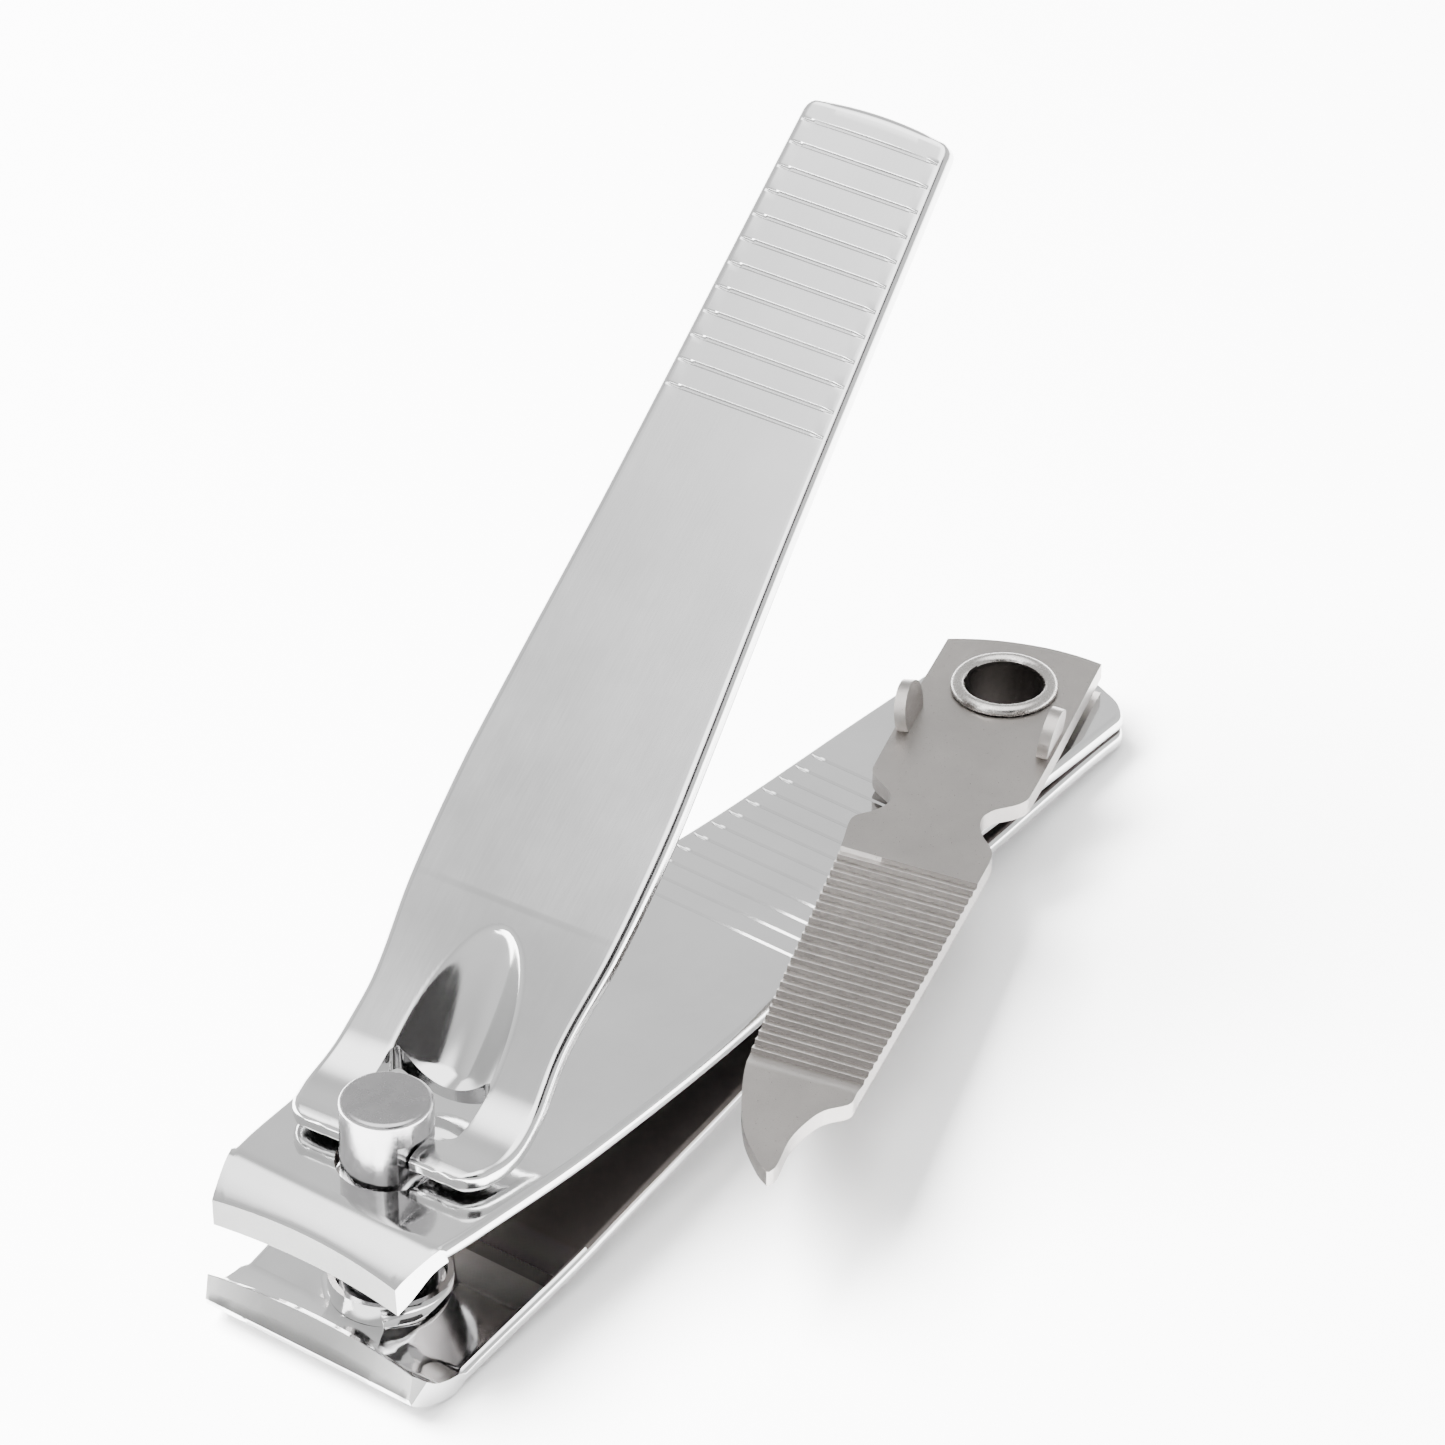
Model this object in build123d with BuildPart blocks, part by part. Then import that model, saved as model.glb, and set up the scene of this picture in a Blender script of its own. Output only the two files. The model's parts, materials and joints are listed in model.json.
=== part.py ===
from build123d import *

import os
from math import cos, degrees, radians, sin, tan

# A fingernail clipper: two sprung leaves held at the tail by an eyelet, a pin
# through both leaves behind the jaws, a lever hooked on the pin, and a file
# that swings on the eyelet.  Sizes are in millimetres.
#
# The pin frame is used to lay the pieces out: its origin is on the pin's axis
# at the upper leaf's top face, X runs back to the tail, Z along the pin.  The
# whole clipper stands on the lower leaf, so the pin frame leans back a little.

# Sheets
leaf_t = 0.94
lever_t = 1.15
file_t = 0.85

# Lengths from the pin's axis
tail_x = 54.1
eye_inset = 5.3
eye_x = tail_x - eye_inset
edge_x = 6.2
lean = 6.1

# Half-widths of the leaves
jaw_half = 5.6
lower_jaw_half = 6.3
waist_half = 7.2
tail_half = 5.0

# Leaf heights
tail_drop = 0.68
tail_slope = 0.02
bend_x = 20.0
jaw_drop = 2.85
jaw_gap = 3.45
parting = 0.1
bite_scoop = 0.5

# Heights where the pin crosses the lower leaf
edge_z = -jaw_drop - jaw_gap
front_z = edge_z - 0.92
collar_top = front_z + 0.62
foot_top = front_z + 0.02
head_seat = front_z - 0.53

# Pin and its collar
pin_r = 2.3
pin_top = 3.67
neck_half = pin_r - 0.58
notch_low = -0.95
notch_high = 2.25
pivot_z = 0.325 + lever_t / 2
foot_r = pin_r + 0.4
head_r = foot_r + 0.3
head_t = 0.25
collar_wall = 0.3
pin_leaf_gap = 0.25
running = 0.05

# Lever
swivel = 4.55
pitch = 41.3
lever_reach = 53.2
fork_front = 0.8
fork_half = 5.35
arm_half = 6.15
grip_half = 4.2
elbow_x = 3.2
lip_x = pin_r + 2.5
trough_half = pin_r + 0.6
trough_depth = 0.9
trough_length = 7.6
hump_r = 5.4

# Eyelet
bore_r = 1.98
tube_wall = 0.36
tube_r = bore_r + tube_wall
flange_r = tube_r + 0.41
top_flange_t = 0.45
foot_flange_t = 0.22
leaf_hole_gap = 0.12

# File
swing = 19.8
file_gap = 0.45
file_half = 4.1
file_waist = 2.4
file_reach = 43.1
seat_r = tube_r + 0.56
seat_h = 0.2
ear_r = 1.5
ear_t = 0.8

# Rubbed lines and file teeth
line_pitch = 1.32
line_count = 12
line_w = 0.25
line_depth = 0.1
tooth_pitch = 0.7
tooth_start = 16.6
tooth_end = file_reach - 8.3
tooth_count = round((tooth_end - tooth_start) / tooth_pitch)
tooth_depth = 0.1
tooth_skew = 7.0

os.makedirs("parts", exist_ok=True)


def placed(base, x=0.0, z=0.0, turn=(0, 0, 0)):
    """A plane set off from another along its own X and Z, then turned."""
    return Plane(base.location * Location((x, 0, z), turn))


# The parting point, where the eyelet's axis crosses the joint between leaves,
# is the origin of the whole clipper.
part_x = eye_x
part_z = -tail_drop + tail_slope * (tail_x - eye_x) - leaf_t - parting / 2
pin_plane = Plane(
    origin=(
        -part_x * cos(radians(lean)) - part_z * sin(radians(lean)),
        0,
        part_x * sin(radians(lean)) - part_z * cos(radians(lean)),
    ),
    x_dir=(cos(radians(lean)), 0, -sin(radians(lean))),
    z_dir=(sin(radians(lean)), 0, cos(radians(lean))),
)
side_plane = placed(pin_plane, turn=(90, 0, 0))
eye_plane = placed(pin_plane, part_x, part_z, (0, degrees(tail_slope), 0))

# Derived radii and heights
leaf_low_at_eye = -parting / 2 - leaf_t
collar_bore = foot_r + running
collar_r = collar_bore + collar_wall
leaf_pin_hole = pin_r + pin_leaf_gap


def leaf_outline(front_x, front_half, flanks):
    """Plan of a leaf: splined flanks from the jaw to a rounded tail."""
    shoulder = (tail_x - 2.0, tail_half)
    left = [(front_x, front_half)] + flanks + [shoulder]
    right = [(x, -half) for x, half in reversed(left)]
    Spline(*left)
    ThreePointArc(shoulder, (tail_x, 0), right[0])
    Spline(*right)
    Line(right[-1], left[0])


def tail_corners(sketch):
    return sketch.vertices().sort_by(Axis.X)[-2:]


upper_flanks = [(-edge_x + 2.6, 6.5), (0, 6.85), (7, waist_half)]
lower_flanks = [(-edge_x + 2.6, 6.75), (0, 6.9), (7, waist_half)]
rear_flanks = [(0.351 * tail_x, 6.9), (0.564 * tail_x, 5.7), (0.813 * tail_x, 5.35)]
upper_flanks += rear_flanks
lower_flanks += rear_flanks

# The grinding wheel that hollows each cutting edge
scoop_r = (jaw_half**2 + bite_scoop**2) / (2 * bite_scoop)

# The upper jaw's bend: outer skin, then the root inside it
skin_start = (-edge_x + 2.3, 0)
face_top = (-edge_x - 0.1, -1.3)
root_start = (-edge_x + 3.0, -leaf_t)
root_end = (-edge_x + 0.85, -jaw_drop + 0.65)

with BuildPart() as upper_leaf:
    with BuildSketch(side_plane):
        with BuildLine():
            Line(skin_start, (bend_x, 0))
            Spline((bend_x, 0), (tail_x, -tail_drop), tangents=((1, 0), (1, -tail_slope)))
            Line((tail_x, -tail_drop), (tail_x, -tail_drop - leaf_t))
            Spline(
                (tail_x, -tail_drop - leaf_t),
                (bend_x, -leaf_t),
                tangents=((-1, tail_slope), (-1, 0)),
            )
            Line((bend_x, -leaf_t), root_start)
            ThreePointArc(root_start, (-edge_x + 1.6, -leaf_t - 0.51), root_end)
            Line(root_end, (-edge_x, -jaw_drop))
            Line((-edge_x, -jaw_drop), face_top)
            ThreePointArc(face_top, (-edge_x + 0.9, -0.55), skin_start)
        make_face()
    extrude(amount=2 * waist_half, both=True)
    with BuildSketch(pin_plane.offset(-2 * jaw_drop)) as plan:
        with BuildLine():
            leaf_outline(-edge_x - 0.3, jaw_half, upper_flanks)
        make_face()
        fillet(tail_corners(plan), 1.6)
    extrude(amount=3 * jaw_drop, mode=Mode.INTERSECT)
    with BuildSketch(placed(pin_plane, -edge_x, -jaw_drop, (0, -14, 0))):
        with Locations((bite_scoop - 0.15 - scoop_r, 0)):
            Circle(scoop_r)
    extrude(amount=2 * jaw_drop, both=True, mode=Mode.SUBTRACT)
    with BuildSketch(pin_plane):
        Circle(leaf_pin_hole)
    extrude(amount=2 * leaf_t, both=True, mode=Mode.SUBTRACT)
    with BuildSketch(eye_plane):
        Circle(tube_r + leaf_hole_gap)
    extrude(amount=3 * leaf_t, both=True, mode=Mode.SUBTRACT)
    with BuildSketch(side_plane):
        for line in range(line_count):
            x = eye_x - 23.93 + line * line_pitch
            with Locations((x, -tail_slope * 0.6 * (x - bend_x))):
                Rectangle(line_w, 2 * line_depth)
    extrude(amount=tail_half, both=True, mode=Mode.SUBTRACT)

# Top line of the lower leaf, from the tail forward to the jaw
lower_line = [
    (tail_x, -tail_drop - leaf_t - parting),
    (part_x, part_z - parting / 2),
    (0.74 * tail_x, -leaf_t - 1.09),
    (0.555 * tail_x, -leaf_t - 1.61),
    (bend_x, -leaf_t - 2.51),
    (10, edge_z + 1.32),
    (0, front_z),
]
heel = (-edge_x + 3.6, front_z - 0.54)
lower_edge = (-edge_x + 0.22, edge_z)
lower_root = (-edge_x + 1.1, edge_z - 0.85)
lower_face = (-edge_x - 0.1, edge_z - leaf_t - 0.91)
lower_skin = (-edge_x + 1.8, edge_z - leaf_t - 1.6)
heel_skin = (heel[0], heel[1] - leaf_t - 0.1)

with BuildPart() as lower_leaf:
    with BuildSketch(side_plane):
        with BuildLine():
            Spline(*lower_line)
            Line(lower_line[-1], heel)
            ThreePointArc(heel, (-edge_x + 1.9, edge_z - 1.34), lower_root)
            Line(lower_root, lower_edge)
            Line(lower_edge, lower_face)
            ThreePointArc(lower_face, (-edge_x + 0.6, edge_z - leaf_t - 1.42), lower_skin)
            Line(lower_skin, heel_skin)
            Line(heel_skin, (0, lower_line[-1][1] - leaf_t))
            Spline(*[(x, z - leaf_t) for x, z in reversed(lower_line)])
            Line((tail_x, lower_line[0][1] - leaf_t), lower_line[0])
        make_face()
    extrude(amount=2 * waist_half, both=True)
    with BuildSketch(pin_plane.offset(-12)) as plan:
        with BuildLine():
            leaf_outline(-edge_x - 0.3, lower_jaw_half, lower_flanks)
        make_face()
        fillet(tail_corners(plan), 1.6)
    extrude(amount=12, mode=Mode.INTERSECT)
    with BuildSketch(placed(pin_plane, -edge_x, edge_z, (0, 14, 0))):
        with Locations((bite_scoop + 0.1 - scoop_r, 0)):
            Circle(scoop_r)
    extrude(amount=jaw_drop, both=True, mode=Mode.SUBTRACT)
    with BuildSketch(pin_plane.offset(collar_top)):
        Circle(collar_r)
    extrude(amount=-1.2)
    with BuildSketch(pin_plane.offset(collar_top + 2)):
        Circle(collar_bore)
    extrude(amount=-5, mode=Mode.SUBTRACT)
    with BuildSketch(pin_plane.offset(head_seat)):
        Circle(head_r + running)
    extrude(amount=-2, mode=Mode.SUBTRACT)
    with BuildSketch(eye_plane):
        Circle(tube_r)
    extrude(amount=3 * leaf_t, both=True, mode=Mode.SUBTRACT)
    with BuildSketch(eye_plane.offset(leaf_low_at_eye)):
        Circle(flange_r + running)
    extrude(amount=-leaf_t, mode=Mode.SUBTRACT)

with BuildPart() as pin:
    with BuildSketch(side_plane):
        with BuildLine():
            head_top = head_seat - running
            Polyline(
                (0, head_top - head_t),
                (head_r, head_top - head_t),
                (head_r, head_top),
                (foot_r, head_top),
                (foot_r, foot_top),
                (pin_r, foot_top),
                (pin_r, pin_top - 0.3),
            )
            TangentArc((pin_r, pin_top - 0.3), (pin_r - 0.3, pin_top), tangent=(0, 1))
            Polyline((pin_r - 0.3, pin_top), (0, pin_top), (0, head_top - head_t))
        make_face()
    revolve(axis=Axis(pin_plane.origin, pin_plane.z_dir))
    with BuildSketch(placed(pin_plane, 0, notch_low, (0, 0, swivel))):
        with Locations((0, neck_half + pin_r), (0, -neck_half - pin_r)):
            Rectangle(3 * pin_r, 2 * pin_r)
    extrude(amount=notch_high - notch_low, mode=Mode.SUBTRACT)

lever_plane = placed(pin_plane, 0, 0, (0, 0, swivel))
lever_side = placed(lever_plane, turn=(90, 0, 0))
arm_plane = placed(lever_plane, elbow_x, pivot_z, (0, -pitch, 0))
half_t = lever_t / 2
miter = half_t * tan(radians(pitch / 2))
run = (cos(radians(pitch)), sin(radians(pitch)))
arm_tip = (elbow_x + lever_reach * run[0], pivot_z + lever_reach * run[1])
trough_tilt = 6.75
trough_r = (trough_half**2 + trough_depth**2) / (2 * trough_depth)
slot_half = neck_half + 0.1
opening_x = 1.3

lever_flanks = [
    (elbow_x - 1.5, 6.0),
    (elbow_x + 1.2, 5.9),
    (elbow_x + 3.8, 5.65),
    (elbow_x + 7.6, 6.08),
    (elbow_x + 12.0, arm_half),
    (elbow_x + 15.6, 5.9),
    (elbow_x + 23.8, 5.2),
]

with BuildPart() as lever:
    with BuildSketch(lever_side) as profile:
        with BuildLine():
            Polyline(
                (-fork_front, pivot_z - half_t),
                (elbow_x + miter, pivot_z - half_t),
                (arm_tip[0] + half_t * run[1], arm_tip[1] - half_t * run[0]),
                (arm_tip[0] - half_t * run[1], arm_tip[1] + half_t * run[0]),
                (elbow_x - miter, pivot_z + half_t),
                (-fork_front, pivot_z + half_t),
                close=True,
            )
        make_face()
        fillet(profile.vertices().sort_by_distance((elbow_x - miter, pivot_z + half_t))[0], 1.0)
        fillet(profile.vertices().sort_by_distance((elbow_x + miter, pivot_z - half_t))[0], 1.8)
    extrude(amount=2 * arm_half, both=True)
    with BuildSketch(lever_plane.offset(-2)) as plan:
        with BuildLine():
            flank = [(-fork_front, fork_half)] + lever_flanks + [(arm_tip[0] - 0.4, grip_half)]
            mirrored = [(x, -half) for x, half in reversed(flank)]
            Spline(*flank)
            ThreePointArc(flank[-1], (arm_tip[0] + 0.3, 0), mirrored[0])
            Spline(*mirrored)
            Line(mirrored[-1], flank[0])
        make_face()
        fillet(plan.vertices().sort_by(Axis.X)[-2:], 0.8)
        fillet(plan.vertices().sort_by(Axis.X)[:2], 0.5)
    extrude(amount=lever_reach, mode=Mode.INTERSECT)
    trough_plane = placed(arm_plane, 1.66, half_t - trough_depth, (0, -trough_tilt, 0))
    with BuildSketch(placed(trough_plane, -1.2, 0, (90, 90, 0))):
        with Locations((0, hump_r - lever_t)):
            Circle(hump_r)
        with Locations((0, hump_r)):
            Rectangle(4 * hump_r, 2 * hump_r + 0.4, mode=Mode.SUBTRACT)
    extrude(amount=trough_length + 1.2)
    with BuildSketch(placed(trough_plane, -1.2, 0, (90, 90, 0))):
        with Locations((0, trough_r)):
            Circle(trough_r)
    extrude(amount=trough_length + 3, mode=Mode.SUBTRACT)
    with BuildSketch(lever_plane.offset(-2)) as opening:
        with Locations(((lip_x + opening_x) / 2, 0)):
            Rectangle(lip_x - opening_x, 2 * trough_half + 0.3)
        fillet(opening.vertices().sort_by(Axis.X)[:2], 0.6)
        with Locations((opening_x - fork_half / 2 + 0.5, 0)):
            Rectangle(fork_half, 2 * slot_half)
    extrude(amount=8, mode=Mode.SUBTRACT)
    with BuildSketch(arm_plane.offset(half_t - line_depth)):
        for line in range(line_count):
            from_tip = 1.4 + line * line_pitch
            half = grip_half - 0.35 + 0.05 * from_tip
            with Locations((lever_reach - from_tip, 0)):
                Rectangle(line_w, 2 * half)
    extrude(amount=leaf_t, mode=Mode.SUBTRACT)

leaf_top_at_eye = -tail_drop + tail_slope * (tail_x - eye_x) - part_z
file_low = leaf_top_at_eye + file_gap
file_high = file_low + file_t
ring_low = file_high + running

with BuildPart() as eyelet:
    with BuildSketch(placed(eye_plane, turn=(90, 0, 0))):
        with BuildLine():
            Polyline(
                (bore_r, leaf_low_at_eye - foot_flange_t),
                (flange_r, leaf_low_at_eye - foot_flange_t),
                (flange_r, leaf_low_at_eye),
                (tube_r, leaf_low_at_eye),
                (tube_r, ring_low),
                (flange_r, ring_low),
            )
            ThreePointArc(
                (flange_r, ring_low),
                ((flange_r + bore_r) / 2, ring_low + top_flange_t),
                (bore_r, ring_low),
            )
            Line((bore_r, ring_low), (bore_r, leaf_low_at_eye - foot_flange_t))
        make_face()
    revolve(axis=Axis(eye_plane.origin, eye_plane.z_dir))

# The file's own plane: X runs from the eyelet to the tip
file_plane = placed(eye_plane, 0, file_low, (0, 0, 180 + swing))
neck_u = 11.5
shoulder_u = 14.0
blade_u = file_reach - 8.9

with BuildPart() as nail_file:
    with BuildSketch(file_plane):
        with BuildLine():
            ThreePointArc((-2.9, file_half), (-4.2, 0.3), (-3.6, -file_half))
            Line((-3.6, -file_half), (9.2, -file_half))
            ThreePointArc((9.2, -file_half), (neck_u, -file_waist), (shoulder_u, -3.8))
            Line((shoulder_u, -3.8), (blade_u, -2.3))
            Spline(
                (blade_u, -2.3),
                (file_reach - 4.6, -1.3),
                (file_reach, 1.5),
                tangents=((1, 0.08), (1, 1)),
            )
            Line((file_reach, 1.5), (file_reach - 0.4, 1.8))
            Spline(
                (file_reach - 0.4, 1.8),
                (file_reach - 3.6, 1.85),
                (file_reach - 6.7, 3.6),
                tangents=((-1, -0.4), (-0.7, 1)),
            )
            Line((file_reach - 6.7, 3.6), (shoulder_u + 1, 3.9))
            ThreePointArc((shoulder_u + 1, 3.9), (neck_u, file_waist), (9.2, file_half))
            Line((9.2, file_half), (-2.9, file_half))
        make_face()
    extrude(amount=file_t)
    with BuildSketch(file_plane.offset(-seat_h)):
        Circle(seat_r)
    extrude(amount=seat_h)
    for side in (1, -1):
        ear_plane = Plane(file_plane.location * Location((4.25, side * (file_half - ear_t), 0), (90, 0, 0)))
        with BuildSketch(ear_plane):
            Rectangle(2 * ear_r, file_t + 0.6, align=(Align.CENTER, Align.MIN))
            with Locations((0, file_t + 0.6)):
                Circle(ear_r)
        extrude(amount=-side * ear_t)
    with BuildSketch(file_plane):
        Circle(tube_r + running)
    extrude(amount=2 * file_t, both=True, mode=Mode.SUBTRACT)
    with BuildSketch(file_plane.offset(file_t - tooth_depth)):
        for tooth in range(tooth_count):
            with Locations(Location((tooth_start + tooth * tooth_pitch, 0, 0), (0, 0, -tooth_skew))):
                Rectangle(tooth_pitch / 2, 3 * file_half)
    extrude(amount=file_t, mode=Mode.SUBTRACT)

pieces = {
    "lower_leaf": lower_leaf,
    "upper_leaf": upper_leaf,
    "lever": lever,
    "pin": pin,
    "eyelet": eyelet,
    "nail_file": nail_file,
}
for name, piece in pieces.items():
    piece.part.label = name
    export_step(piece.part, f"parts/{name}.step")
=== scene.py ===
import json
from math import atan2, ceil, cos, degrees, radians, sin, sqrt, tan

import bpy
from mathutils import Matrix, Vector


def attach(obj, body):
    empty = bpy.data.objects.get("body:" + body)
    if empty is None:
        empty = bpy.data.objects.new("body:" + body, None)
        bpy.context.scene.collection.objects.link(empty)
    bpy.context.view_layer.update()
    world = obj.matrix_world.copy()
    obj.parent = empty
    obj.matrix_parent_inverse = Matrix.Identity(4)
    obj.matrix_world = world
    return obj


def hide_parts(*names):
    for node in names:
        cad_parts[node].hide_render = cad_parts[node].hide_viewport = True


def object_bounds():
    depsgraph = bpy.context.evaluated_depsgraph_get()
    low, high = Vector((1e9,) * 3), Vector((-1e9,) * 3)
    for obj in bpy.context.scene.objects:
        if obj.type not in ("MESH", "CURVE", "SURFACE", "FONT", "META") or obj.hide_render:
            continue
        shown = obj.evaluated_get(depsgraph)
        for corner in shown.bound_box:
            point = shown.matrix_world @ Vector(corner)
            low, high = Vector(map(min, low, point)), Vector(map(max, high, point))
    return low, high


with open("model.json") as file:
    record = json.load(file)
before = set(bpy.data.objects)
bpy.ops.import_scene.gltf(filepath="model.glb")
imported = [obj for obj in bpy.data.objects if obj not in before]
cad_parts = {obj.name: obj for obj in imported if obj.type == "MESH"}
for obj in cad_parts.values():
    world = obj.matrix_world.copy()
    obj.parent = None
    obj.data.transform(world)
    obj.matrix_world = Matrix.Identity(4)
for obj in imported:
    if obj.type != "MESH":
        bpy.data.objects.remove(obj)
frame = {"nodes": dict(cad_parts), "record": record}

cad_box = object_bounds()
MM = 0.001

# ------------------------------------------------------------------ places
# The pin frame: origin on the pin's axis at the upper leaf's top face, X back
# to the tail, Z along the pin.  It is read from the joints of the frame.
joints = {joint["name"]: joint for joint in frame["record"]["behaviour"]["joints"]}
PIN_AXIS = Vector(joints["pin_spin"]["axis"]).normalized()
PIVOT = Vector(joints["lever_press"]["pos_m"])
LEVER_AXIS = Vector(joints["lever_press"]["axis"]).normalized()
EYE_AXIS = Vector(joints["file_swing"]["axis"]).normalized()
PIVOT_HEIGHT = 0.9
LEAN = degrees(atan2(PIN_AXIS.x, PIN_AXIS.z))
EYE_X = 48.8


def frame_matrix(origin, z_axis, y_hint):
    """Placement with the given Z axis and a Y axis near the hint."""
    z = z_axis.normalized()
    x = y_hint.cross(z).normalized()
    y = z.cross(x)
    turn = Matrix((x, y, z)).transposed().to_4x4()
    return Matrix.Translation(origin) @ turn


PIN = frame_matrix(PIVOT - PIN_AXIS * PIVOT_HEIGHT * MM, PIN_AXIS, Vector((0, 1, 0)))
EYE = frame_matrix(Vector((0, 0, 0)), EYE_AXIS, Vector((0, 1, 0)))
LEVER = frame_matrix(PIVOT - PIN_AXIS * PIVOT_HEIGHT * MM, PIN_AXIS, LEVER_AXIS)
SCALE = Matrix.Scale(MM, 4)

# Faces that meet at less than this many degrees shade as one
SMOOTH_ANGLE = 30


# --------------------------------------------------------------- materials
def hex_colour(code):
    """An sRGB hex colour as linear RGBA."""
    parts = [int(code[i:i + 2], 16) / 255 for i in (0, 2, 4)]
    linear = [c / 12.92 if c <= 0.04045 else ((c + 0.055) / 1.055) ** 2.4 for c in parts]
    return (*linear, 1.0)


def add_node(tree, kind, settings=None, inputs=None):
    """A node with its settings, and its inputs set to values or linked from sockets."""
    node = tree.nodes.new(kind)
    for name, value in (settings or {}).items():
        setattr(node, name, value)
    for name, value in (inputs or {}).items():
        if isinstance(value, bpy.types.NodeSocket):
            tree.links.new(value, node.inputs[name])
        else:
            node.inputs[name].default_value = value
    return node


def ramp(tree, source, stops):
    """A colour ramp over a source socket, from (place, value) grey stops."""
    node = add_node(tree, "ShaderNodeValToRGB", inputs={"Fac": source})
    elements = node.color_ramp.elements
    while len(elements) < len(stops):
        elements.new(0.5)
    for element, (place, value) in zip(elements, stops):
        element.position = place
        element.color = value if isinstance(value, tuple) else (value, value, value, 1)
    return node.outputs["Color"]


def metal(name, colour, roughness):
    """A new material with a metallic shader, and its tree and shader."""
    material = bpy.data.materials.new(name)
    material.use_nodes = True
    tree = material.node_tree
    shader = tree.nodes["Principled BSDF"]
    shader.inputs["Base Color"].default_value = hex_colour(colour)
    shader.inputs["Metallic"].default_value = 1.0
    shader.inputs["Roughness"].default_value = roughness
    return material, tree, shader


def brushed_chrome(name, colour, along, grain_mm, rough, depth):
    """Bright nickel-chrome plate over brushed steel: a clear reflection, drawn
    out a little across the fine polishing lines, with faint cloudy wear."""
    material, tree, shader = metal(name, colour, rough[0])
    place = add_node(tree, "ShaderNodeTexCoord").outputs["Object"]
    stretched = add_node(tree, "ShaderNodeMapping", inputs={
        "Vector": place, "Scale": along}).outputs["Vector"]
    lines = add_node(tree, "ShaderNodeTexNoise", inputs={
        "Vector": stretched, "Scale": 1 / (grain_mm * MM), "Detail": 3.0}).outputs["Fac"]
    clouds = add_node(tree, "ShaderNodeTexNoise", inputs={
        "Vector": place, "Scale": 1 / (9 * MM), "Detail": 4.0, "Roughness": 0.6}).outputs["Fac"]
    worn = add_node(tree, "ShaderNodeMath", {"operation": "MULTIPLY_ADD"}).outputs[0]
    worn.node.inputs[0].default_value = 0.5
    tree.links.new(lines, worn.node.inputs[0])
    worn.node.inputs[1].default_value = 0.5
    tree.links.new(clouds, worn.node.inputs[2])
    base = hex_colour(colour)
    dimmer = tuple(c * 0.92 for c in base[:3]) + (1.0,)
    tree.links.new(ramp(tree, clouds, ((0.35, dimmer), (0.65, base))), shader.inputs["Base Color"])
    tree.links.new(ramp(tree, worn, ((0.5, rough[0]), (1.1, rough[1]))), shader.inputs["Roughness"])
    bump = add_node(tree, "ShaderNodeBump", inputs={
        "Strength": 0.25, "Distance": depth * MM, "Height": lines})
    tree.links.new(bump.outputs["Normal"], shader.inputs["Normal"])
    return material


def tumbled_steel(name, colour, rough, pit_mm):
    """Stainless sheet tumbled to a satin skin: warm grey, with fine pits and
    faint scratches that scatter the light."""
    material, tree, shader = metal(name, colour, rough)
    place = add_node(tree, "ShaderNodeTexCoord").outputs["Object"]
    pits = add_node(tree, "ShaderNodeTexNoise", inputs={
        "Vector": place, "Scale": 1 / (pit_mm * MM), "Detail": 5.0, "Roughness": 0.65}).outputs["Fac"]
    clouds = add_node(tree, "ShaderNodeTexNoise", inputs={
        "Vector": place, "Scale": 1 / (4 * MM), "Detail": 4.0}).outputs["Fac"]
    base = hex_colour(colour)
    duller = tuple(c * 0.86 for c in base[:3]) + (1.0,)
    shade = ramp(tree, clouds, ((0.3, duller), (0.7, base)))
    tree.links.new(shade, shader.inputs["Base Color"])
    tree.links.new(ramp(tree, pits, ((0.3, rough - 0.06), (0.7, rough + 0.1))), shader.inputs["Roughness"])
    bump = add_node(tree, "ShaderNodeBump", inputs={
        "Strength": 0.3, "Distance": 0.02 * MM, "Height": pits})
    tree.links.new(bump.outputs["Normal"], shader.inputs["Normal"])
    return material


def plate_with_painted_shade(name, bright, shaded, first_x, last_x):
    """Plating bright round the jaws whose colour darkens towards the tail: painted
    shade in the gap between the leaves; it also grows rougher there."""
    material, tree, shader = metal(name, shaded, 0.5)
    place = add_node(tree, "ShaderNodeTexCoord").outputs["Object"]
    along = add_node(tree, "ShaderNodeSeparateXYZ", inputs={"Vector": place}).outputs["X"]
    fade = add_node(tree, "ShaderNodeMapRange", inputs={
        "Value": along, "From Min": first_x * MM, "From Max": last_x * MM}).outputs["Result"]
    tree.links.new(ramp(tree, fade, ((0.0, hex_colour(bright)), (1.0, hex_colour(shaded)))),
                   shader.inputs["Base Color"])
    tree.links.new(ramp(tree, fade, ((0.0, 0.1), (1.0, 0.5))), shader.inputs["Roughness"])
    return material


leaf_chrome = brushed_chrome("leaf_nickel_chrome", "E2E2E2", (0.06, 1, 1), 0.12, (0.05, 0.12), 0.001)
lever_chrome = brushed_chrome("lever_nickel_chrome", "E0E0E0", (0.06, 1, 0.06), 0.12, (0.08, 0.17), 0.002)
ground_steel = tumbled_steel("jaw_ground_steel", "868685", 0.4, 0.1)
# Darker plate for the faces between the leaves: painted shade in the gap, from bright near the jaws to dark
# towards the tail
inner_painted_shade = plate_with_painted_shade("leaf_inner_painted_shade", "9A9796", "5C5755", -46.5, -43.0)
# Near-black finish for the eyelet's bore: painted shade inside the hole
bore_painted_shade = tumbled_steel("eyelet_bore_painted_shade", "3C3836", 0.5, 0.2)
pin_plate = tumbled_steel("pin_plated_steel", "C4C3C4", 0.16, 0.5)
file_steel = tumbled_steel("file_tumbled_stainless", "A9A5A2", 0.32, 0.12)
# Darker colour for the steep faces of the file's teeth: painted shade along each tooth
tooth_shade = tumbled_steel("file_tooth_painted_shade", "6F6B68", 0.4, 0.12)
pin_burr = tumbled_steel("pin_riveted_top", "A8A7A8", 0.24, 0.9)
eyelet_steel = tumbled_steel("eyelet_rolled_steel", "B5B2AF", 0.24, 0.2)


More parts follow.
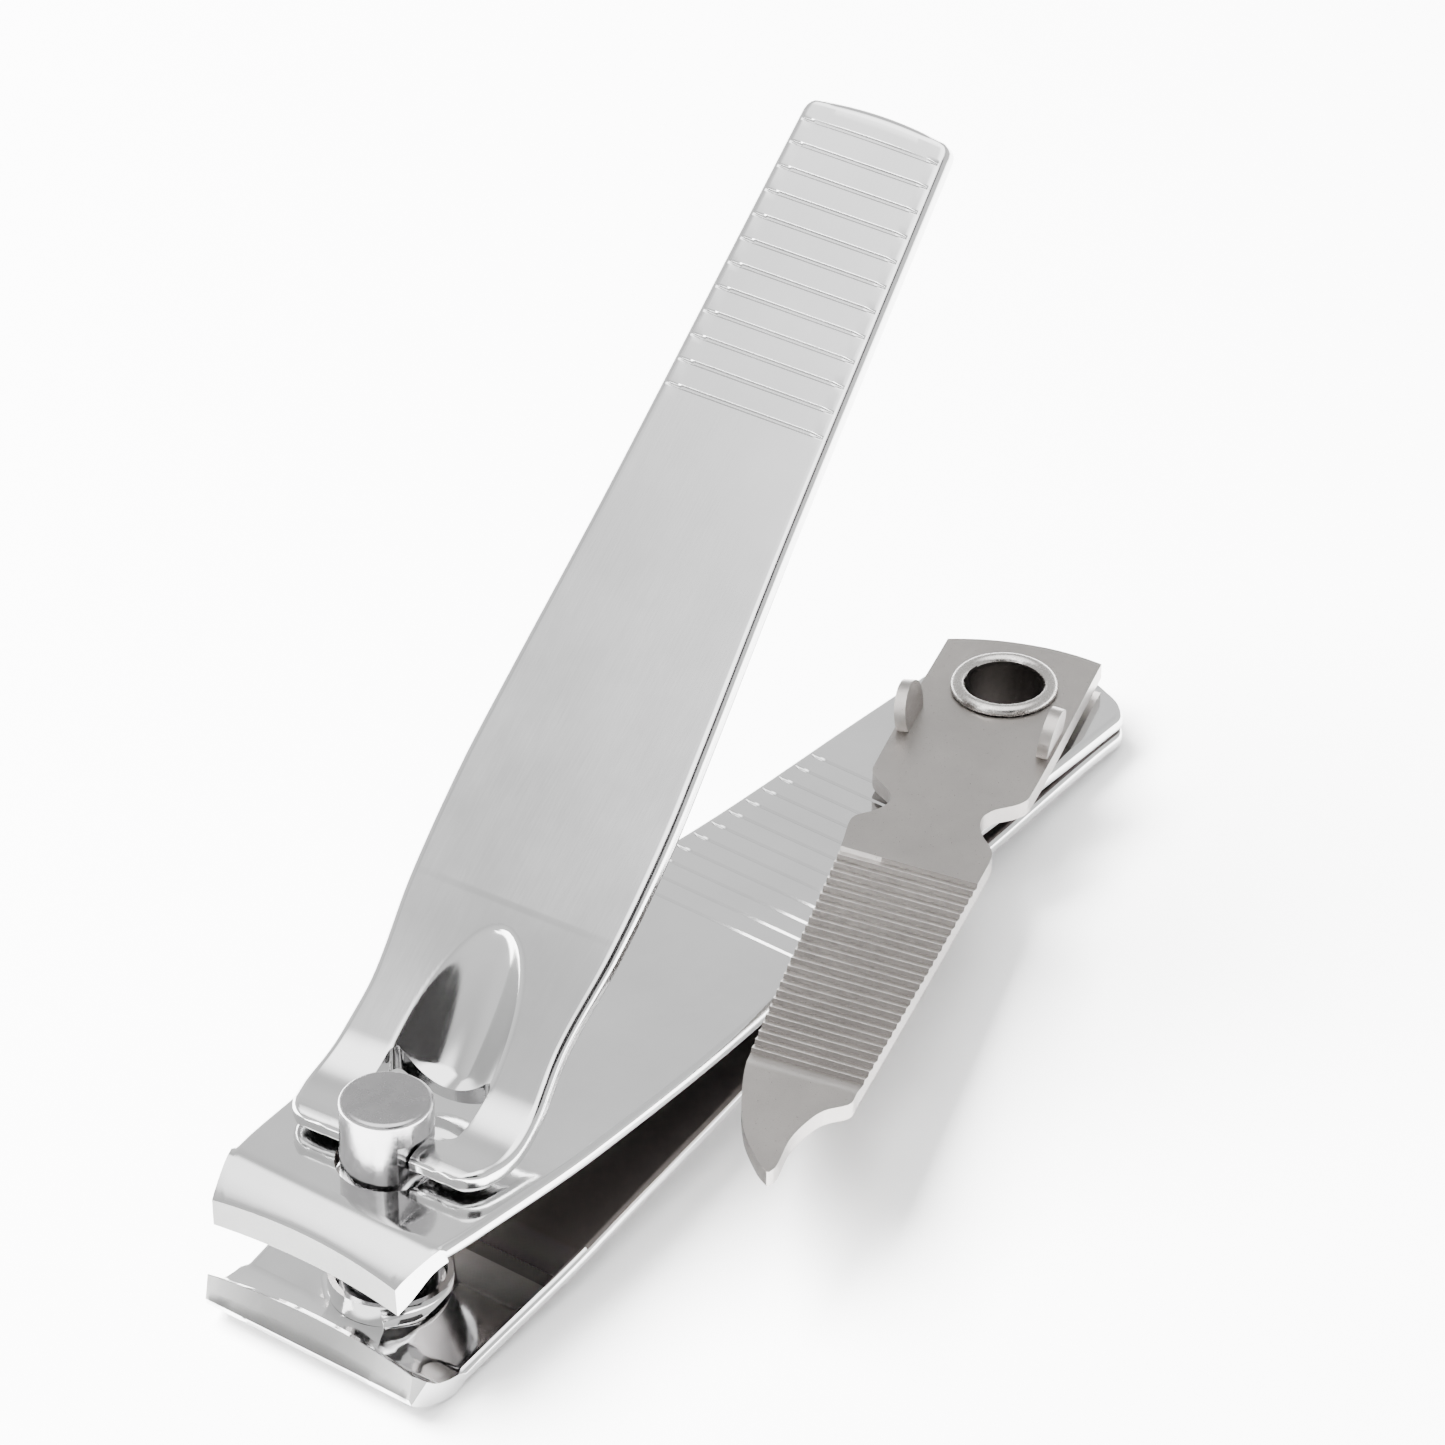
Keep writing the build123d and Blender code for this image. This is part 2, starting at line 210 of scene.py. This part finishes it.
# ------------------------------------------------------------- small tools
def only(piece):
    """Deselects everything, then selects one piece and makes it active."""
    bpy.ops.object.select_all(action="DESELECT")
    piece.select_set(True)
    bpy.context.view_layer.objects.active = piece


def apply_modifier(piece, kind, **settings):
    """Adds a modifier with its settings and applies it."""
    only(piece)
    modifier = piece.modifiers.new(kind.title(), kind)
    for name, value in settings.items():
        setattr(modifier, name, value)
    bpy.ops.object.modifier_apply(modifier=modifier.name)


def settle(piece, placement):
    """Moves a piece modelled in millimetres at the origin to its place."""
    piece.data.transform(placement @ SCALE)
    piece.data.update()


def finish_piece(piece, name, body, nodes, material):
    """Names and finishes a piece, hangs it on its body and hides the CAD parts it stands in for."""
    only(piece)
    piece.name = name
    piece.data.name = name
    piece.data.materials.clear()
    piece.data.materials.append(material)
    bpy.ops.object.shade_smooth_by_angle(angle=radians(SMOOTH_ANGLE))
    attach(piece, body)
    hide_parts(*nodes)
    return piece


def refinish(piece, material, chosen):
    """Gives another finish to the faces that a test on centre and normal picks."""
    piece.data.materials.append(material)
    index = len(piece.data.materials) - 1
    for face in piece.data.polygons:
        if chosen(face.center, face.normal):
            face.material_index = index


def softened_copy(node, bevel):
    """A merged copy of a CAD node with its sharp edges rounded."""
    source = frame["nodes"][node]
    piece = source.copy()
    piece.data = source.data.copy()
    piece.parent = None
    piece.matrix_world = Matrix.Identity(4)
    bpy.context.collection.objects.link(piece)
    only(piece)
    piece.hide_set(False)
    bpy.ops.object.mode_set(mode="EDIT")
    bpy.ops.mesh.select_all(action="SELECT")
    bpy.ops.mesh.remove_doubles(threshold=0.002 * MM)
    bpy.ops.mesh.dissolve_limited(angle_limit=radians(1.0))
    bpy.ops.object.mode_set(mode="OBJECT")
    if piece.data.has_custom_normals:
        bpy.ops.mesh.customdata_custom_splitnormals_clear()
    apply_modifier(piece, "BEVEL", width=bevel * MM, segments=3, limit_method="ANGLE",
                   angle_limit=radians(SMOOTH_ANGLE), harden_normals=True, miter_outer="MITER_ARC")
    return piece


# ------------------------------------------------------------ sheet making
def through(points, x):
    """A smooth curve's value at x, through given points."""
    if x <= points[0][0]:
        return points[0][1]
    if x >= points[-1][0]:
        return points[-1][1]
    last = len(points) - 1
    k = max(i for i in range(last) if points[i][0] <= x)

    def slope(i):
        before, after = points[max(i - 1, 0)], points[min(i + 1, last)]
        return (after[1] - before[1]) / (after[0] - before[0])

    step = points[k + 1][0] - points[k][0]
    t = (x - points[k][0]) / step
    return ((2 * t**3 - 3 * t**2 + 1) * points[k][1] + (t**3 - 2 * t**2 + t) * step * slope(k)
            + (3 * t**2 - 2 * t**3) * points[k + 1][1] + (t**3 - t**2) * step * slope(k + 1))


def steps(first, last, pitch):
    """Even places from first to last, no further apart than the pitch."""
    count = max(1, ceil((last - first) / pitch))
    return [first + (last - first) * k / count for k in range(count + 1)]


def clear_of(places, marks, gap):
    """The places that keep a gap from every mark."""
    return [p for p in places if all(abs(p - mark) > gap for mark in marks)]


def sheet_of(rows, columns, place):
    """A closed sheet: place(row, column, under) gives each point in mm."""
    bpy.ops.object.select_all(action="DESELECT")
    bpy.ops.mesh.primitive_grid_add(x_subdivisions=rows - 1, y_subdivisions=columns - 1, size=2)
    piece = bpy.context.active_object
    apply_modifier(piece, "SOLIDIFY", thickness=0.01, offset=-1)
    for vertex in piece.data.vertices:
        row = round((vertex.co.x + 1) / 2 * (rows - 1))
        column = round((vertex.co.y + 1) / 2 * (columns - 1))
        vertex.co = place(row, column, vertex.co.z < -0.005)
    face_outward(piece)
    return piece


def face_outward(piece):
    """Turns every face of a closed piece to point outward."""
    only(piece)
    bpy.ops.object.mode_set(mode="EDIT")
    bpy.ops.mesh.select_all(action="SELECT")
    bpy.ops.mesh.normals_make_consistent(inside=False)
    bpy.ops.object.mode_set(mode="OBJECT")


def cut_out(piece, cutter, operation="DIFFERENCE"):
    """Cuts a cutter from a piece, or joins it on, and removes the cutter."""
    apply_modifier(piece, "BOOLEAN", operation=operation, object=cutter, solver="EXACT")
    bpy.data.objects.remove(cutter, do_unlink=True)


def rod(radius, depth, place=(0, 0, 0), turn=(0, 0, 0), sides=96):
    """A round bar in millimetres, turned by degrees about its middle."""
    bpy.ops.object.select_all(action="DESELECT")
    bpy.ops.mesh.primitive_cylinder_add(vertices=sides, radius=radius, depth=depth, location=place,
                                        rotation=[radians(angle) for angle in turn])
    bpy.ops.object.transform_apply(location=True, rotation=True, scale=True)
    return bpy.context.active_object


def block(size, place, corner=0.0):
    """A cutter block, its upright edges rounded."""
    bpy.ops.object.select_all(action="DESELECT")
    bpy.ops.mesh.primitive_cube_add(size=1, location=place, scale=size)
    bpy.ops.object.transform_apply(location=True, rotation=True, scale=True)
    piece = bpy.context.active_object
    if corner:
        bpy.ops.object.mode_set(mode="EDIT")
        bpy.ops.mesh.select_all(action="DESELECT")
        bpy.ops.object.mode_set(mode="OBJECT")
        for edge in piece.data.edges:
            ends = [piece.data.vertices[i].co for i in edge.vertices]
            edge.select = abs(ends[0].z - ends[1].z) > size[2] / 2
        bpy.ops.object.mode_set(mode="EDIT")
        bpy.ops.mesh.bevel(offset=corner, segments=8)
        bpy.ops.object.mode_set(mode="OBJECT")
    return piece


def round_edges(piece, width, angle=55, segments=3):
    """Rounds the edges sharper than an angle, so that they catch the light."""
    apply_modifier(piece, "BEVEL", width=width, segments=segments, limit_method="ANGLE",
                   angle_limit=radians(angle))
    only(piece)
    bpy.ops.object.shade_smooth_by_angle(angle=radians(40))
    apply_modifier(piece, "WEIGHTED_NORMAL", keep_sharp=True, weight=80)


def corner_cut(from_end, radius):
    """How far a rounded corner draws the edge in, at a distance from the end."""
    if from_end >= radius:
        return 0.0
    return radius - sqrt(max(0.0, radius**2 - (radius - from_end)**2))


def rounding(from_edge, radius):
    """Share of a rounded edge's full height at a distance from the edge."""
    return sqrt(1 - (1 - min(1.0, max(0.0, from_edge) / radius))**2)


LINE_PITCH = 1.32
LINE_COUNT = 12
LINE_HALF = 0.13
LINE_DEPTH = 0.1
SIDE_COLUMNS = [1.0, 0.996, 0.985, 0.967, 0.945, 0.92, 0.88, 0.75]


def mirrored(half):
    """Columns from one edge to the other, from those of one half."""
    return sorted({-t for t in half} | set(half) | {0.0})


def line_rows(centres):
    """Rows at both rims and both sides of the bottom of each rubbed line."""
    offsets = (-LINE_HALF, -LINE_HALF / 3, LINE_HALF / 3, LINE_HALF)
    return [centre + offset for centre in centres for offset in offsets]


def line_depth(place, across, centres):
    """Depth of a rubbed cross line at a place along a sheet."""
    if abs(across) > 0.9:
        return 0.0
    return LINE_DEPTH if any(abs(place - c) < LINE_HALF / 2 for c in centres) else 0.0


# ------------------------------------------------------------------ leaves
TAIL_X = 54.1
SHEET = 0.94
LEAF_EDGE = 0.4
FINE_BEVEL = 0.13
PIN_HOLE_R = 2.55
LEAF_EYE_R = 2.46
TUBE_HOLE_R = 2.34
COLLAR_R = 3.05
COLLAR_BORE_R = 2.75
FACE_DROP = 0.55
LEAF_LINES = [24.87 + LINE_PITCH * k for k in range(LINE_COUNT)]
UPPER_TOP = [(-3.5, 0), (14, 0), (20, -0.02), (30, -0.17), (40, -0.39), (48, -0.56), (TAIL_X, -0.68)]
LOWER_TOP = [(-2.6, -7.76), (0, -7.22), (10, -4.98), (20, -3.45), (30, -2.55), (40, -2.03),
             (EYE_X, -1.62), (TAIL_X, -1.72)]
REAR_HALF = [(7, 7.2), (19, 6.9), (30.5, 5.7), (44, 5.35), (TAIL_X, 5.0)]
UPPER_HALF = [(-6.5, 5.6), (-3.6, 6.5), (0, 6.85)] + REAR_HALF
LOWER_HALF = [(-6.5, 6.3), (-3.6, 6.75), (0, 6.9)] + REAR_HALF
# Each jaw row: top or inner point, underside or outer point, and how far the
# grinding wheel hollows the middle of the row on each face.
UPPER_JAW = [
    ((-6.2, -2.85), (-6.15, -2.86), 0.5, 0.5),
    ((-6.29, -1.32), (-5.5, -2.36), 0.42, 0.3),
    ((-6.0, -1.06), (-5.2, -2.06), 0.25, 0.1),
    ((-5.65, -0.82), (-4.9, -1.76), 0.1, 0.0),
    ((-5.25, -0.58), (-4.6, -1.47), 0.0, 0.0),
    ((-4.8, -0.34), (-4.25, -1.2), 0.0, 0.0),
    ((-4.3, -0.12), (-3.8, -1.02), 0.0, 0.0),
    ((-3.9, -0.02), (-3.4, -0.95), 0.0, 0.0),
]
LOWER_JAW = [
    ((-5.98, -6.31), (-6.02, -6.32), 0.6, 0.6),
    ((-5.75, -6.52), (-6.16, -7.1), 0.5, 0.35),
    ((-5.5, -6.78), (-6.28, -7.6), 0.3, 0.0),
    ((-5.15, -7.1), (-6.14, -8.0), 0.15, 0.0),
    ((-4.8, -7.38), (-5.7, -8.33), 0.0, 0.0),
    ((-4.35, -7.6), (-5.05, -8.6), 0.0, 0.0),
    ((-3.7, -7.74), (-4.2, -8.78), 0.0, 0.0),
    ((-3.1, -7.78), (-3.4, -8.8), 0.0, 0.0),
]


def leaf(top, half, jaw, first_x, lines):
    """A sprung leaf with its ground jaw and rounded tail."""
    tail = [TAIL_X - gap for gap in (2.0, 1.6, 1.2, 0.8, 0.5, 0.25, 0.1, 0.0)]
    plain = clear_of(steps(first_x, TAIL_X - 2.4, 1.0), lines, 0.3)
    along = sorted(plain + line_rows(lines) + tail)
    columns = mirrored(SIDE_COLUMNS + [0.6, 0.45, 0.3, 0.15])

    def place(row, column, under):
        t = columns[column]
        if row < len(jaw):
            x, z = jaw[row][1 if under else 0]
            hollow = jaw[row][3 if under else 2] * (1 - t * t)
            width = through(half, x)
            return (x + hollow, t * width, z + (FACE_DROP * hollow if 0 < row < 4 and not under else 0))
        x = along[row - len(jaw)]
        width = through(half, x) - corner_cut(TAIL_X - x, 2.0)
        soft = LEAF_EDGE * (1 - rounding((1 - abs(t)) * width, LEAF_EDGE))
        z = through(top, x) - (SHEET - soft if under else soft + line_depth(x, t, lines))
        back = 0.9 * t * t * max(0.0, 1 - (TAIL_X - x) / 2.4)
        return (x - back, t * width, z)

    return sheet_of(len(jaw) + len(along), len(columns), place)


EYE_TILT = degrees(atan2(EYE_AXIS.x, EYE_AXIS.z)) - LEAN
EYE_PLACE = (EYE_X, 0, -1.52)

upper = leaf(UPPER_TOP, UPPER_HALF, UPPER_JAW, -3.5, LEAF_LINES)
round_edges(upper, FINE_BEVEL)
cut_out(upper, rod(PIN_HOLE_R, 4))
cut_out(upper, rod(LEAF_EYE_R, 6, EYE_PLACE, (0, EYE_TILT, 0)))
settle(upper, PIN)
finish_piece(upper, "upper_leaf_plate", "top_leaf", ["upper_leaf"], leaf_chrome)
to_pin = PIN.inverted()
up_pin = to_pin.to_3x3()
GROUND_FACE_X = -5.75
UPPER_INNER_X = -4.0
LOWER_INNER_X = 3.0
LOWER_GROUND_X = -5.55
LOWER_GROUND_Z = -7.75
refinish(upper, ground_steel,
         lambda c, n: (to_pin @ c).x < GROUND_FACE_X * MM and (up_pin @ n).x < -0.85)
# The upper leaf's underside behind the jaw gets the darker plate: painted shade between the leaves
refinish(upper, inner_painted_shade,
         lambda c, n: (to_pin @ c).x > UPPER_INNER_X * MM and (up_pin @ n).z < -0.8)

# The lower leaf has a collar drawn up round the pin
lower = leaf(LOWER_TOP, LOWER_HALF, LOWER_JAW, -2.6, [])
round_edges(lower, FINE_BEVEL)
collar = rod(COLLAR_R, 1.25, (0, 0, -7.225))
cut_out(lower, collar, "UNION")
cut_out(lower, rod(COLLAR_BORE_R, 8, (0, 0, -7)))
cut_out(lower, rod(COLLAR_R, 2, (0, 0, -8.75)))
cut_out(lower, rod(TUBE_HOLE_R, 6, EYE_PLACE, (0, EYE_TILT, 0)))
settle(lower, PIN)
finish_piece(lower, "lower_leaf_plate", "base", ["lower_leaf"], leaf_chrome)
refinish(lower, ground_steel,
         lambda c, n: (to_pin @ c).x < LOWER_GROUND_X * MM and (to_pin @ c).z > LOWER_GROUND_Z * MM)
# The lower leaf's top face behind the collar gets the darker plate: painted shade between the leaves
refinish(lower, inner_painted_shade,
         lambda c, n: (to_pin @ c).x > LOWER_INNER_X * MM and (up_pin @ n).z > 0.8)

# ------------------------------------------------------------------- lever
PITCH = radians(41.3)
LEVER_SHEET = 1.15
LEVER_EDGE = 0.45
NOSE_DROP = 0.42
NOSE_LENGTH = 0.9
CROWN = 0.3
ELBOW_X = 3.2
FORK_FRONT = 0.8
BEND_R = 6.0
REACH = 53.2
bend_run = BEND_R * tan(PITCH / 2)
fork_run = ELBOW_X - bend_run + FORK_FRONT
bend_end = fork_run + BEND_R * PITCH
lever_end = bend_end + REACH - bend_run
LIP = 1.66
TROUGH_LENGTH = 7.8
TROUGH_HALF = 2.95
TROUGH_DEPTH = 1.5
HUMP_SHARE = 0.62
RIM_RISE = 0.16
RIM_REACH = 4.2
SLOT_WIDTH = 3.64
OPENING_WIDTH = 5.9
LEVER_HALF = [(-0.8, 5.35), (1.7, 6.0), (4.4, 5.9), (7.0, 5.65), (10.8, 6.08), (15.2, 6.15), (18.8, 5.9),
              (27.0, 5.2), (43.2, 4.2)]
LEVER_LINES = [lever_end - 1.4 - 1.33 * k for k in range(LINE_COUNT)]


def lever_path(s):
    """Middle of the lever's sheet at a distance from the fork's tips: x, z and tilt."""
    if s <= fork_run:
        return (s - FORK_FRONT, PIVOT_HEIGHT, 0.0)
    if s <= bend_end:
        turn = (s - fork_run) / BEND_R
        return (fork_run - FORK_FRONT + BEND_R * sin(turn), PIVOT_HEIGHT + BEND_R * (1 - cos(turn)), turn)
    out = bend_run + s - bend_end
    return (ELBOW_X + out * cos(PITCH), PIVOT_HEIGHT + out * sin(PITCH), PITCH)


def trough(s, y):
    """Depth of the pressed trough whose hump below bears on the leaf."""
    out = bend_run + s - bend_end
    u = (out - LIP) / TROUGH_LENGTH
    if u >= 1.15:
        return 0.0
    u_in = min(max(u, 0.0), 1.0)
    half = TROUGH_HALF * sqrt(max(0.0, 1 - u_in**2.2)) + 0.02
    depth = TROUGH_DEPTH * (1 - u_in**2)**0.7
    q = abs(y) / half
    bowl = depth * (1 - q * q)**1.4 if q < 1 else 0.0
    fade = min(1.0, max(0.0, (s - fork_run) / (bend_end - fork_run)))
    fall = (max(q, 0.0) * half / RIM_REACH)**2 + (max(u, 0.0) / 0.9)**4
    rim = RIM_RISE * (0.7 + 0.3 * fade) * 2.718 ** (-fall)
    return (bowl + rim) * fade


lever_ends = [lever_end - gap for gap in (1.1, 0.8, 0.5, 0.3, 0.15, 0.05, 0.0)]
lever_rows = sorted([0.0, 0.06, 0.16, 0.3, 0.5, 0.7] + steps(0.95, 17.2, 0.15)
                    + clear_of(steps(17.5, lever_end - 1.9, 1.0), LEVER_LINES, 0.3)
                    + [row for row in line_rows(LEVER_LINES) if row < lever_end - 1.15] + lever_ends)
lever_columns = mirrored(SIDE_COLUMNS + [0.68, 0.62] + steps(0.02, 0.58, 0.02))


def place_lever(row, column, under):
    s, t = lever_rows[row], lever_columns[column]
    x, z, tilt = lever_path(s)
    width = through(LEVER_HALF, x) - corner_cut(lever_end - s, 0.8) - corner_cut(s, 1.1)
    y = t * width
    crown = CROWN * t * t * max(0.0, 1 - (lever_end - s) / 2.0)
    soft = LEVER_EDGE * (1 - rounding(min((1 - abs(t)) * width, lever_end - s), LEVER_EDGE))
    nose = NOSE_DROP * (1 - rounding(s, NOSE_LENGTH))
    thick = LEVER_SHEET / 2 - max(soft, nose)
    if under:
        off = -thick - HUMP_SHARE * trough(s, y)
    else:
        off = thick - line_depth(s, t, LEVER_LINES) - trough(s, y)
    return (x - off * sin(tilt) - crown * cos(tilt), y, z + off * cos(tilt) - crown * sin(tilt))


arm = sheet_of(len(lever_rows), len(lever_columns), place_lever)
cut_out(arm, block((6, SLOT_WIDTH, 8), (-1.2, 0, 0)))
cut_out(arm, block((3.5, OPENING_WIDTH, 8), (3.05, 0, 2.4), 0.6))
round_edges(arm, 0.36, segments=4)
settle(arm, LEVER)
finish_piece(arm, "lever_arm", "lever", ["lever"], lever_chrome)

# -------------------------------------------------------------------- file
FILE_SHEET = 0.85
FILE_LOW = 1.44
SWING = 19.8
TOOTH_PITCH = 0.7
TOOTH_COUNT = 26
TOOTH_FIRST = 16.6
TOOTH_SKEW = tan(radians(7))
TOOTH_DEPTH = 0.18
FILE_REACH = 43.1
EAR_R = 1.43
FILE_LEFT = [(-4, 4.05), (9.0, 4.1), (9.8, 3.75), (10.7, 2.75), (11.6, 2.4), (12.6, 2.8), (13.5, 3.6),
             (14.2, 3.75), (16.5, 3.5), (34.2, 2.3), (36.5, 1.9), (40.1, 0.65), (42.4, -0.8),
             (FILE_REACH, -1.5)]
FILE_RIGHT = [(-4, -4.05), (9.0, -4.1), (9.8, -3.75), (10.7, -2.75), (11.6, -2.4), (12.8, -2.8), (13.9, -3.7),
              (15.0, -3.9), (35.4, -3.62), (36.4, -3.55), (37.4, -2.6), (38.6, -2.1), (40.3, -1.75),
              (42.6, -1.8), (FILE_REACH, -1.62)]
tooth_rows = [TOOTH_FIRST + k * TOOTH_PITCH + gap for k in range(TOOTH_COUNT) for gap in (0.0, 0.16)]
file_rows = sorted(steps(-4.2, 8.4, 0.9) + steps(8.7, 15.3, 0.22) + [15.8] + tooth_rows
                   + steps(35.2, 42.4, 0.25) + [42.7, 42.95, FILE_REACH])
file_columns = mirrored([1.0, 0.96, 0.8, 0.6, 0.4, 0.2])


def place_file(row, column, under):
    u, t = file_rows[row], file_columns[column]
    toothed = TOOTH_FIRST - 0.1 < u < TOOTH_FIRST + TOOTH_COUNT * TOOTH_PITCH
    left, right = through(FILE_LEFT, u), through(FILE_RIGHT, u)
    v = (left + right) / 2 + t * (left - right) / 2
    rear = max(0.0, 1 - (u + 4.2) / 3)
    u += 0.75 * t * t * rear + (0.25 * t * rear if t < 0 else 0.1 * t * rear)
    near = min(1.0, max(0.0, (u - 12) / 4)) * min(1.0, max(0.0, (39 - u) / 4))
    low = not under and toothed and (row - file_rows.index(tooth_rows[0])) % 2 == 1
    return (u - v * TOOTH_SKEW * near, -v, (0 if under else FILE_SHEET) - (TOOTH_DEPTH if low else 0))


plate = sheet_of(len(file_rows), len(file_columns), place_file)
seat = rod(2.9, 0.3, (0, 0, -0.05))
cut_out(plate, seat, "UNION")
cut_out(plate, rod(2.39, 6))
for side in (1, -1):
    ear = rod(EAR_R, 0.6, (4.25, side * 3.75, 1.5), (90 - side * 8, 0, 0), 40)
    cut_out(plate, ear, "UNION")
round_edges(plate, 0.1, 60, 2)
FILE = (EYE @ Matrix.Translation(Vector((0, 0, FILE_LOW * MM)))
        @ Matrix.Rotation(radians(180 + SWING), 4, "Z"))
settle(plate, FILE)
finish_piece(plate, "file_plate", "file", ["nail_file"], file_steel)
to_file = FILE.inverted()
up_file = to_file.to_3x3()
# The steep tooth faces get the darker colour: painted shade that marks each tooth
refinish(plate, tooth_shade,
         lambda c, n: 16.5 * MM < (to_file @ c).x < 35.2 * MM and 0.2 < (up_file @ n).z < 0.88)

# --------------------------------------------------------- pin and eyelet
post = finish_piece(softened_copy("pin", 0.14), "pin_body", "pin", ["pin"], pin_plate)
PIN_CROWN_Z = 3.4
refinish(post, pin_burr, lambda c, n: (to_pin @ c).z > PIN_CROWN_Z * MM and (up_pin @ n).z > 0.7)
rivet = finish_piece(softened_copy("eyelet", 0.06), "eyelet_rivet", "base", ["eyelet"],
                     eyelet_steel)
to_eye = EYE.inverted()
# The bore's inner wall gets the near-black finish: painted shade in the hole
refinish(rivet, bore_painted_shade, lambda c, n: (to_eye @ c).xy.length < 2.02 * MM and abs(n.z) < 0.5)

# -------------------------------------------------------- floor and lights
FLOOR_Z = cad_box[0][2]
bpy.ops.mesh.primitive_plane_add(size=3.0, location=(0, 0, FLOOR_Z))
floor = bpy.context.active_object
floor.name = "floor"
paper = bpy.data.materials.new("white_paper_sweep")
paper.use_nodes = True
paper_shader = paper.node_tree.nodes["Principled BSDF"]
paper_shader.inputs["Base Color"].default_value = hex_colour("FFFFFF")
paper_shader.inputs["Roughness"].default_value = 0.9
floor.data.materials.append(paper)

world = bpy.data.worlds.new("studio")
bpy.context.scene.world = world
world.use_nodes = True
sky = world.node_tree
direction = add_node(sky, "ShaderNodeTexCoord").outputs["Generated"]
height = add_node(sky, "ShaderNodeSeparateXYZ", inputs={"Vector": direction}).outputs["Z"]
# Brightness by height: grey walls, and a bright ceiling mirrored by the slopes
SKY_STOPS = ((0.0, 0.26), (0.45, 0.245), (0.6, 0.22), (0.74, 0.19), (0.79, 0.25), (0.83, 0.6), (0.88, 1.0))
glow = ramp(sky, height, SKY_STOPS)
sky.links.new(glow, sky.nodes["Background"].inputs["Color"])
sky.nodes["Background"].inputs["Strength"].default_value = 5.0


def softbox(name, azimuth, elevation, distance, width, height, power):
    """An area lamp aimed at the clipper, azimuth 0 standing on the -Y side."""
    turn = Matrix.Rotation(radians(azimuth), 4, "Z")
    offset = turn @ Vector((0, -cos(radians(elevation)), sin(radians(elevation)))) * distance
    bpy.ops.object.light_add(type="AREA", location=Vector((-0.025, 0, 0.01)) + offset)
    lamp = bpy.context.active_object
    lamp.name = name
    lamp.data.shape = "RECTANGLE"
    lamp.data.size = width
    lamp.data.size_y = height
    lamp.data.energy = power
    lamp.rotation_mode = "QUATERNION"
    lamp.rotation_quaternion = offset.to_track_quat("Z", "Y")
    return lamp


key = softbox("floor_key", 200, 60, 0.6, 0.4, 0.4, 46.0)
key.visible_glossy = False


def card(name, direction, distance, size, colour):
    """A card seen only in the metal, standing off in a direction from the jaws."""
    bpy.ops.object.select_all(action="DESELECT")
    bpy.ops.mesh.primitive_plane_add(size=size)
    piece = bpy.context.active_object
    piece.name = name
    toward = Vector(direction).normalized()
    turn = toward.to_track_quat("Z", "Y").to_matrix().to_4x4()
    piece.data.transform(Matrix.Translation(Vector((-0.045, 0, 0.01)) + toward * distance) @ turn)
    material = bpy.data.materials.new(name + "_felt")
    material.use_nodes = True
    felt = material.node_tree.nodes["Principled BSDF"]
    felt.inputs["Base Color"].default_value = hex_colour(colour)
    felt.inputs["Roughness"].default_value = 1.0
    piece.data.materials.append(material)
    piece.visible_camera = False
    piece.visible_diffuse = False
    piece.visible_shadow = False


card("dark_card_right", (-0.34, -0.68, 0.65), 0.4, 0.24, "060505")

# ------------------------------------------------------------------ camera
AIM = Vector((-27.43, -5.19, 21.64)) * MM
VIEW_AZIMUTH = -48.73
VIEW_ELEVATION = 39.55
VIEW_ROLL = -5.02
VIEW_DISTANCE = 477.16 * MM
yaw = Matrix.Rotation(radians(VIEW_AZIMUTH), 4, "Z")
tilt = Matrix.Rotation(radians(90 - VIEW_ELEVATION), 4, "X")
spin = Matrix.Rotation(radians(VIEW_ROLL), 4, "Z")
aimed = yaw @ tilt @ spin
bpy.ops.object.camera_add()
camera = bpy.context.active_object
camera.name = "camera"
camera.matrix_world = Matrix.Translation(AIM + aimed.to_3x3() @ Vector((0, 0, VIEW_DISTANCE))) @ aimed
camera.data.sensor_width = 36
camera.data.lens = 249.7
camera.data.clip_start = 0.01
bpy.context.scene.camera = camera
